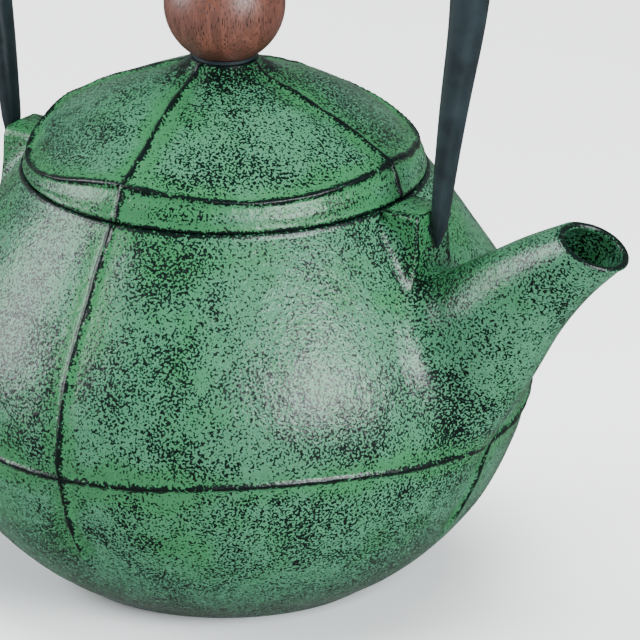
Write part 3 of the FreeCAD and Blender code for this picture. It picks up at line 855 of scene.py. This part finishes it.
class TEAPOT_OT_pot(bpy.types.Operator):
    """Build the pot's casting: panelled shell, spout and lugs"""
    bl_idname = "teapot.pot"
    bl_label = "Build Pot"

    def execute(self, context):
        sizes = context.scene.teapot_pot
        seam = np.array([-3.2, -2.4, -1.8, -1.4, -1.1, -0.85, -0.6, -0.35, -0.12,
                         0.12, 0.35, 0.6, 0.85, 1.1, 1.4, 1.8, 2.4, 3.2])
        seam_row, below_seam, above_seam = 50.0, 46.0, 55.0
        rows_z = np.concatenate([
            [0.25, 0.8, 1.5, 2.4, 3.5, 4.8, 6.2, 7.8, 9.5],
            np.arange(11.4, below_seam, 1.75), seam_row + seam, np.arange(above_seam, 108.6, 1.7),
            [109.4, 110.0, 110.45],
        ])
        outer = [(float(np.interp(z, OUTSIDE_Z, OUTSIDE_R)), float(z)) for z in rows_z]
        foot = [(0.0, 1.0), (12.0, 1.0), (24.0, 1.0), (30.2, 1.0), (31.0, 0.75), (31.4, 0.2), (31.9, 0.0),
                (34.5, 0.0), (37.5, 0.0), (39.3, 0.0), (40.0, 0.08)]
        lip = [(53.35, 110.66), (53.1, 110.78), (52.7, 110.8), (50.6, 110.8), (50.2, 110.7), (50.0, 110.4),
               (50.0, 109.35), (49.6, 109.2), (46.4, 109.2), (45.95, 109.05), (45.8, 108.6), (45.8, 105.4),
               (46.1, 104.75), (46.8, 104.2)]
        inner_belly = arc((76.4, BELLY_Z), (74.2, 67.9), (68.15, 81.1), 9)[::-1]
        inner_bowl = arc((76.4, BELLY_Z), (64.7, 27.0), (37.9, 3.55), 18)
        inner = joined_up(straight((51.6, 103.1), (68.15, 81.1), 12), inner_belly, inner_bowl,
                          [(30.0, 3.5), (18.0, 3.5), (6.0, 3.5), (0.0, 3.5)])
        profile = foot + outer + lip + inner
        first, last = len(foot), len(foot) + len(outer)
        shell = spun("pot_casting", profile, sizes.columns)

        def mover(angle, row, radius, z):
            outside = (row >= first) & (row < last)
            pull = np.where(z < seam_row, step_up(z, 20.0, below_seam), 1 - step_up(z, above_seam, 88.0))
            moved = z + (belly_seam_z(angle) - seam_row) * pull
            surface = pot_surface(angle, np.where(outside, moved, seam_row))
            return np.where(outside[:, None], surface, turned(radius, angle, z))

        reshape_spun(shell, profile, sizes.columns, mover)
        cut(shell, channel_cutter())
        spout = skinned("spout", spout_rings())
        lugs = []
        for side in (1, -1):
            lug = skinned("lug", lug_rings(side))
            cut(lug, axis_cylinder("peg_bore", 48, 2.25, 8.5, side * 61.9))
            lugs.append(lug)
        pot = joined([shell, spout] + lugs)
        smooth(pot, 50.0)
        points = coords(pot) / MM
        ring = np.empty(len(points))
        pot.data.attributes["ring"].data.foreach_get("value", ring)
        for key, values in pot_marks(points, ring).items():
            store(pot, key, values)
        finish_piece(pot, "pot", ["pot_body", "spout"], enamel_finish())
        return {"FINISHED"}


# ---------------------------------------------------------------- lid
def lid_ring_height(angle):
    """Rise of the lid's ring seam over the pot's lip. It droops between the radial seams, unevenly."""
    _, _, share, panel = nearest_seam(angle)
    droop = np.array([3.6, 4.2, 6.6, 2.2])[panel]
    peak = np.array([0.5, 0.5, 0.42, 0.5])[panel]
    warped = np.where(share < peak, share / peak / 2, 0.5 + (share - peak) / (1 - peak) / 2)
    bend = np.sin(math.pi * warped) ** 1.5
    return 9.9 - droop * bend + 0.25 * wobble(np.asarray(angle) / 11.0, share * 0 + 1.0, share * 0)


LID_CORNER = (49.7, 9.6)    # radius and rise of the ring seam before it droops
LID_DOME = arc(LID_CORNER, (36.0, 17.3), (21.0, 23.9), 100)
LID_TOP = np.array(joined_up([(52.5, 0.3), (52.6, 1.2), (51.6, 5.2), (50.2, 8.6), LID_CORNER], LID_DOME,
                             arc((21.0, 23.9), (14.2, 26.6), (9.0, 30.2), 30)))
LID_LENGTH = np.concatenate([[0], np.cumsum(np.hypot(*np.diff(LID_TOP, axis=0).T))])
LID_SEAM_AT = float(np.interp(LID_CORNER[1], LID_TOP[:5, 1], LID_LENGTH[:5]))
LID_END = float(LID_LENGTH[-1])


def lid_relief(angle, s, radius):
    """Height of the lid's top over its plain outline at s along it, and the crest and seam marks."""
    sizes = bpy.context.scene.teapot_pot
    half = sizes.seam_width / MM / 2
    turn, which, _, _ = nearest_seam(angle)
    lean = np.where(which == 3, 2.2 - 3.5 * step_up(radius, 12.0, 46.0), 0.0)
    sway = 0.5 * wobble(s / 12.0, which * 3.7 + 1.5, s * 0 + 6.0) + lean
    upright = radius * np.radians(turn) + sway
    stand = 1.0 + 0.2 * wobble(s / 5.0, which * 2.9, s * 0 + 1.0)
    thick = 1.1 + 0.30 * wobble(s / 6.0, which * 1.7, s * 0)
    thick = thick + 0.2 * wobble(s / 2.2, which * 2.3, s * 0)
    rib = ridge(upright, half * thick) * stand
    rib = rib * (1 - 0.45 * step_up(s, LID_END - 10.0, LID_END)) * step_up(s, -0.2, 1.5)
    tooth = 1.0 + 0.12 * np.sin(np.radians(angle) * radius * 2 * math.pi / 2.1)
    band = ridge((s - LID_SEAM_AT) * 0.95, half) * tooth
    crest = np.maximum(rib, band)
    near = np.minimum(np.abs(upright), np.abs(s - LID_SEAM_AT))
    near = np.minimum(near, np.maximum(s, 0.0) * 1.4)
    swell = (1.0 - np.exp(-np.maximum(near - 0.6, 0) / 5.5)) * sizes.puff / MM * 0.85
    a = np.radians(angle)
    x, y = radius * np.cos(a), radius * np.sin(a)
    slow = wobble(x / 17.0, y / 17.0, s / 15.0 + 8.0) + 0.45 * wobble(x / 7.0, y / 7.0, s / 7.0)
    lift = swell - 0.45 + slow * sizes.waviness / MM
    lift = lift * step_up(s, 0.2, 3.0) * (1 - step_up(s, LID_END - 4.0, LID_END))
    return lift + crest * sizes.seam_height / MM, crest, near


class TEAPOT_OT_lid(bpy.types.Operator):
    """Build the lid's casting, with its ring seam, radial seams, boss and skirt"""
    bl_idname = "teapot.lid"
    bl_label = "Build Lid"

    def execute(self, context):
        columns = context.scene.teapot_pot.columns
        seam = np.array([-1.6, -1.2, -0.9, -0.65, -0.4, -0.15, 0.15, 0.4, 0.65, 0.9, 1.2, 1.7, 2.3])
        rows = np.concatenate([
            [0.0, 0.35, 0.8, 1.4], np.linspace(2.1, LID_SEAM_AT - 2.2, 8), LID_SEAM_AT + seam,
            np.linspace(LID_SEAM_AT + 3.2, LID_END - 0.6, 40), [LID_END],
        ])
        outer = [tuple(float(np.interp(s, LID_LENGTH, side)) for side in LID_TOP.T) for s in rows]
        boss = [(8.85, 30.45), (8.6, 30.65), (8.35, 30.75), (8.0, 30.8), (5.0, 30.8), (2.7, 30.8),
                (2.7, 25.0)]
        hollow = joined_up(arc((26.0, 18.4), (17.0, 21.9), (8.6, 25.0), 8)[::-1],
                           arc((39.6, 11.3), (33.0, 15.1), (26.0, 18.4), 8)[::-1])
        skirt = [(39.6, 116.0), (39.6, 110.0), (39.6, 104.0), (39.9, 103.1), (40.7, 102.8), (41.7, 102.8),
                 (42.35, 103.1), (42.6, 103.9), (42.6, 107.5), (42.7, 110.6), (43.2, 111.1), (45.5, 111.1),
                 (49.5, 111.1)]
        profile = [(r, z + RIM_Z) for r, z in outer + boss + hollow] + skirt
        profile.append(profile[0])
        lid = spun("lid_casting", profile, columns)
        count = len(outer)
        out_by = evened(np.gradient(LID_TOP[:, 0], LID_LENGTH), 9)
        up_by = evened(np.gradient(LID_TOP[:, 1], LID_LENGTH), 9)
        marks = {}

        def mover(angle, row, radius, z):
            outside = row < count
            s = rows[np.minimum(row, count - 1)]
            rise, crest, near = lid_relief(angle, s, radius)
            marks["crest"] = np.where(outside, crest * 0.30, 0.0)
            marks["edge"] = np.where(outside, near, 12.0)
            # Painted shade as denser speckle: along the lid's lower edge at the gap to the pot, round the
            # knob under the ball, and inside the hollow and skirt. The boss under the ball goes darkest,
            # where shade and its black paint meet.
            lid_painted_shade = np.where(s < 0.5, 0.5, step_up(s, LID_END - 12.0, LID_END - 1.0) * 0.50)
            marks["dark"] = np.where(outside, lid_painted_shade, np.where(radius < 9.0, 1.0, 0.35))
            dip = lid_ring_height(angle) - LID_CORNER[1]
            pull = np.where(s < LID_SEAM_AT, s / LID_SEAM_AT, 1 - step_up(s, LID_SEAM_AT, LID_SEAM_AT + 26.0))
            n_r = np.interp(s, LID_LENGTH, up_by)
            n_z = -np.interp(s, LID_LENGTH, out_by)
            size = np.hypot(n_r, n_z)
            r = radius + rise * n_r / size - dip * pull * 0.30
            h = z + rise * n_z / size + dip * pull
            h = np.maximum(h, RIM_Z + 0.3 + np.where(s < 0.1, 0.0, 0.3 * np.minimum(s, 3.0)))
            return turned(np.where(outside, r, radius), angle, np.where(outside, h, z))

        reshape_spun(lid, profile, columns, mover)
        smooth(lid, 50.0)
        for key, values in marks.items():
            store(lid, key, values)
        finish_piece(lid, "lid", ["lid"], enamel_finish())
        return {"FINISHED"}


# ---------------------------------------------------------------- bail
FOOT_HALF = (1.9, 2.7)      # half thickness and half width at the peg
CROWN_HALF = (5.2, 5.8)     # the same at the crown
TAPER = 0.39                # share of each side that tapers
TIP_DROP = 5.6              # how far the pointed foot reaches past the peg
BAIL_RISE = 146.0           # the crown's centre line over the pot's lip


def bail_line():
    """The bail's centre line from crown to peg, as (x, rise over the pot's lip, angle from level)."""
    crown_r, shoulder_r, half_span = 110.0, 48.0, 78.6
    upper_r, lean, lower_r = 257.0, math.radians(10.4), 640.0
    crown_z = BAIL_RISE - crown_r
    shoulder_x = half_span - shoulder_r
    apart = crown_r - shoulder_r
    shoulder_z = crown_z + math.sqrt(apart ** 2 - shoulder_x ** 2)
    turn = math.asin(shoulder_x / apart)
    line = []
    for a in np.linspace(0, turn, 14)[:-1]:
        line.append((crown_r * math.sin(a), crown_z + crown_r * math.cos(a), a))
    for a in np.linspace(turn, math.pi / 2, 18)[:-1]:
        line.append((shoulder_x + shoulder_r * math.sin(a), shoulder_z + shoulder_r * math.cos(a), a))
    for a in np.linspace(0, lean, 12):
        x = half_span - upper_r * (1 - math.cos(a))
        line.append((x, shoulder_z - upper_r * math.sin(a), math.pi / 2 + a))
    start_x, start_z, _ = line[-1]
    for share in np.linspace(0, 1, 14)[1:]:
        drop = (start_z + RIM_Z - PEG_Z) * share
        a = math.asin(math.sin(lean) - drop / lower_r)
        line.append((start_x - lower_r * (math.cos(a) - math.cos(lean)), start_z - drop, math.pi / 2 + a))
    return line


class TEAPOT_OT_bail(bpy.types.Operator):
    """Build the bail: a tapered bar bent over the lid, with pointed feet and a peg on each"""
    bl_idname = "teapot.bail"
    bl_label = "Build Bail"

    def execute(self, context):
        sizes = context.scene.teapot_bail
        line = bail_line()
        places = np.array([(x, z) for x, z, _ in line])
        travelled = np.concatenate([[0], np.cumsum(np.hypot(*np.diff(places, axis=0).T))])
        total = travelled[-1]
        side_line = [(x, z, a, t) for (x, z, a), t in zip(line, travelled)]
        foot_x, foot_z, foot_a = line[-1]
        for step in range(1, 9):
            d = TIP_DROP * step / 8
            side_line.append((foot_x - d * math.tan(foot_a - math.pi / 2), foot_z - d, foot_a, total + d))
        stations = [(-x, z, -a, t) for x, z, a, t in side_line[:0:-1]] + side_line
        count = 32
        rings = []
        power = 2.0 / sizes.squareness
        for x, z, a, t in stations:
            share = min(1.0, (total - min(t, total)) / (total * TAPER))
            thick, wide = [low + (high - low) * share for low, high in zip(FOOT_HALF, CROWN_HALF)]
            to_tip = (total + TIP_DROP - t) / (sizes.point / MM)
            if to_tip < 1.0:
                point = 0.10 + 0.90 * math.sin(max(to_tip, 0.0) * math.pi / 2) ** 0.85
                thick, wide = thick * point, wide * point
            out = np.array([math.sin(a), 0.0, math.cos(a)])
            ring = []
            for phi in np.arange(count) * 2 * math.pi / count:
                c, s = math.cos(phi), math.sin(phi)
                u = math.copysign(abs(c) ** power, c) * thick
                v = math.copysign(abs(s) ** power, s) * wide
                ring.append(np.array([x, 0.0, RIM_Z + z]) + out * u + np.array([0.0, v, 0.0]))
            rings.append(ring)
        bar = skinned("bail_bar", rings)
        pegs = []
        for side in (1, -1):
            peg = axis_cylinder("bail_peg", 40, 2.2, 9.6, side * 63.2)
            modifier = peg.modifiers.new("Edge", "BEVEL")
            modifier.width = 0.4 * MM
            modifier.segments = 3
            modifier.limit_method = "ANGLE"
            bpy.ops.object.modifier_apply(modifier="Edge")
            pegs.append(peg)
        bail = joined([bar] + pegs)
        bail.name = "bail_handle"
        smooth(bail, 40.0)
        finish_piece(bail, "bail", ["bail"], iron_finish())
        return {"FINISHED"}


# ---------------------------------------------------------------- knob, basket and hardware
def repaint(finish, *nodes):
    """Give CAD nodes whose shape stays a better finish."""
    for node in nodes:
        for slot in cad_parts[node].material_slots:
            slot.material = finish


class TEAPOT_OT_knob(bpy.types.Operator):
    """Turn the wooden ball and finish its washer, screw and insert"""
    bl_idname = "teapot.knob"
    bl_label = "Build Knob"

    def execute(self, context):
        centre, radius, foot = 156.0, 15.9, 142.4
        low = math.acos((centre - foot) / radius)
        ball = []
        for a in np.linspace(math.pi, low, 60):
            ball.append((radius * math.sin(a), centre - radius * math.cos(a)))
        ball[0] = (0.0, centre + radius)
        foot_r = ball[-1][0]
        flat = [(foot_r + 0.05, foot + 0.18), (foot_r - 0.25, foot), (5.5, foot), (3.9, foot)]
        bore = [(3.6, foot + 0.3), (3.6, foot + 6.0), (3.6, foot + 12.6), (3.2, foot + 13.0),
                (0.0, foot + 13.0)]
        knob = spun("wooden_ball", ball[:-1] + flat + bore, 96)
        smooth(knob, 40.0)
        finish_piece(knob, "lid", ["knob_ball"], wood_finish())
        repaint(iron_finish(), "knob_washer")
        steel = metal_finish("turned_steel", (0.62, 0.62, 0.63), 0.30, 0.5 * MM, (1, 1, 0.2))
        brass = metal_finish("turned_brass", (0.72, 0.52, 0.24), 0.32, 0.4 * MM, (0.2, 0.2, 1))
        repaint(steel, "knob_screw", "screw_washer")
        repaint(brass, "knob_insert")
        return {"FINISHED"}


class TEAPOT_OT_basket(bpy.types.Operator):
    """Finish the strainer basket: rolled rim, mesh wall, pressed base"""
    bl_idname = "teapot.basket"
    bl_label = "Build Basket"

    def execute(self, context):
        sheet = metal_finish("bright_sheet", (0.70, 0.70, 0.71), 0.24, 0.6 * MM, (0.3, 0.3, 1))
        repaint(sheet, "basket_rim", "basket_base")
        repaint(mesh_finish(), "basket_wall", "basket_floor")
        return {"FINISHED"}


def mesh_finish():
    """Fine woven steel: two sets of wires, with painted shade in the gaps between them."""
    made, tree, shader = material("woven_steel_mesh")
    w = Weave(tree)
    split = w.add("ShaderNodeSeparateXYZ")
    w.link(w.coord.outputs["Object"], split.inputs["Vector"])
    wall_radius, pitch = 44.1 * MM, 0.8 * MM
    turn = w.math("MULTIPLY", w.math("ARCTAN2", split.outputs["Y"], split.outputs["X"]), wall_radius)
    around = w.math("ABSOLUTE", w.math("SINE", w.math("MULTIPLY", turn, math.pi / pitch)))
    up = w.math("ABSOLUTE", w.math("SINE", w.math("MULTIPLY", split.outputs["Z"], math.pi / pitch)))
    wire = w.math("MAXIMUM", around, up)
    lit = w.ramp(wire, 0.70, 0.92)
    # The gaps between the wires are painted near-black as painted shade, in place of the dim inside seen
    # through them.
    w.link(w.mix(lit, (0.03, 0.03, 0.03), (0.62, 0.62, 0.63)), shader.inputs["Base Color"])
    w.link(w.ramp(lit, 0, 1, 0.2, 1.0), shader.inputs["Metallic"])
    shader.inputs["Roughness"].default_value = 0.33
    w.link(w.bump(wire, 0.2 * MM, 0.8), shader.inputs["Normal"])
    return made


# ---------------------------------------------------------------- stage
class TEAPOT_OT_stage(bpy.types.Operator):
    """Set the pale floor, the soft studio lights and the camera"""
    bl_idname = "teapot.stage"
    bl_label = "Set Stage"

    def execute(self, context):
        deselect()
        bpy.ops.mesh.primitive_plane_add(size=12.0)
        floor = named("studio_floor")
        floor.data.materials.append(floor_finish())
        floor.visible_glossy = False
        world = bpy.data.worlds.new("studio")
        context.scene.world = world
        world.use_nodes = True
        background = world.node_tree.nodes["Background"]
        background.inputs["Color"].default_value = (0.95, 0.98, 1.0, 1.0)
        background.inputs["Strength"].default_value = 0.25
        lights = (
            ("left_softbox", (-0.98, -0.58, 0.52), 0.85, 30.0, (0.93, 0.97, 1.0)),
            ("right_softbox", (1.20, -0.36, 0.60), 0.80, 50.0, (0.93, 0.97, 1.0)),
            ("overhead", (0.05, 0.10, 1.45), 1.20, 54.0, (1.0, 1.0, 1.0)),
        )
        for name, spot, size, watts, colour in lights:
            light = bpy.data.lights.new(name, "AREA")
            light.shape = "SQUARE"
            light.size = size
            light.energy = watts
            light.color = colour
            lamp = bpy.data.objects.new(name, light)
            context.collection.objects.link(lamp)
            lamp.location = spot
            lamp.visible_glossy = name != "overhead"
            lamp.rotation_euler = (Vector((0, 0, 0.07)) - Vector(spot)).to_track_quat("-Z", "Y").to_euler()
        camera_data = bpy.data.cameras.new("camera")
        camera = bpy.data.objects.new("camera", camera_data)
        context.collection.objects.link(camera)
        turn, tilt, distance = math.radians(34.5), math.radians(20.2), 6.5
        view_width, aim_right, aim_height = 167.04 * MM, 24.795 * MM, 68.0482 * MM
        right = Vector((math.cos(turn), math.sin(turn), 0))
        back = Vector((math.sin(turn) * math.cos(tilt), -math.cos(turn) * math.cos(tilt), math.sin(tilt)))
        target = right * aim_right + Vector((0, 0, aim_height))
        camera.location = target + back * distance
        camera.rotation_euler = (-back).to_track_quat("-Z", "Y").to_euler()
        camera_data.sensor_width = 36.0
        camera_data.lens = camera_data.sensor_width * distance / view_width
        camera_data.clip_start = 1.0
        camera_data.clip_end = 50.0
        context.scene.camera = camera
        return {"FINISHED"}


# ---------------------------------------------------------------- panel and registration
class TEAPOT_PT_panel(bpy.types.Panel):
    bl_idname = "TEAPOT_PT_panel"
    bl_label = "Cast Iron Teapot"
    bl_space_type = "VIEW_3D"
    bl_region_type = "UI"
    bl_category = "Teapot"

    def draw(self, context):
        layout = self.layout
        scene = context.scene
        for group in (scene.teapot_pot, scene.teapot_bail, scene.teapot_finishes):
            box = layout.box()
            for key in group.__annotations__:
                box.prop(group, key)
        for operator in OPERATORS:
            layout.operator(operator.bl_idname)


OPERATORS = (TEAPOT_OT_pot, TEAPOT_OT_lid, TEAPOT_OT_knob, TEAPOT_OT_bail, TEAPOT_OT_basket, TEAPOT_OT_stage)
CLASSES = (TeapotPotSizes, TeapotBailSizes, TeapotFinishes) + OPERATORS + (TEAPOT_PT_panel,)


def register():
    for cls in CLASSES:
        bpy.utils.register_class(cls)
    bpy.types.Scene.teapot_pot = bpy.props.PointerProperty(type=TeapotPotSizes)
    bpy.types.Scene.teapot_bail = bpy.props.PointerProperty(type=TeapotBailSizes)
    bpy.types.Scene.teapot_finishes = bpy.props.PointerProperty(type=TeapotFinishes)


def unregister():
    del bpy.types.Scene.teapot_finishes
    del bpy.types.Scene.teapot_bail
    del bpy.types.Scene.teapot_pot
    for cls in reversed(CLASSES):
        bpy.utils.unregister_class(cls)


def main():
    register()
    bpy.ops.teapot.pot()
    bpy.ops.teapot.lid()
    bpy.ops.teapot.knob()
    bpy.ops.teapot.bail()
    bpy.ops.teapot.basket()
    bpy.ops.teapot.stage()


if __name__ == "__main__":
    main()
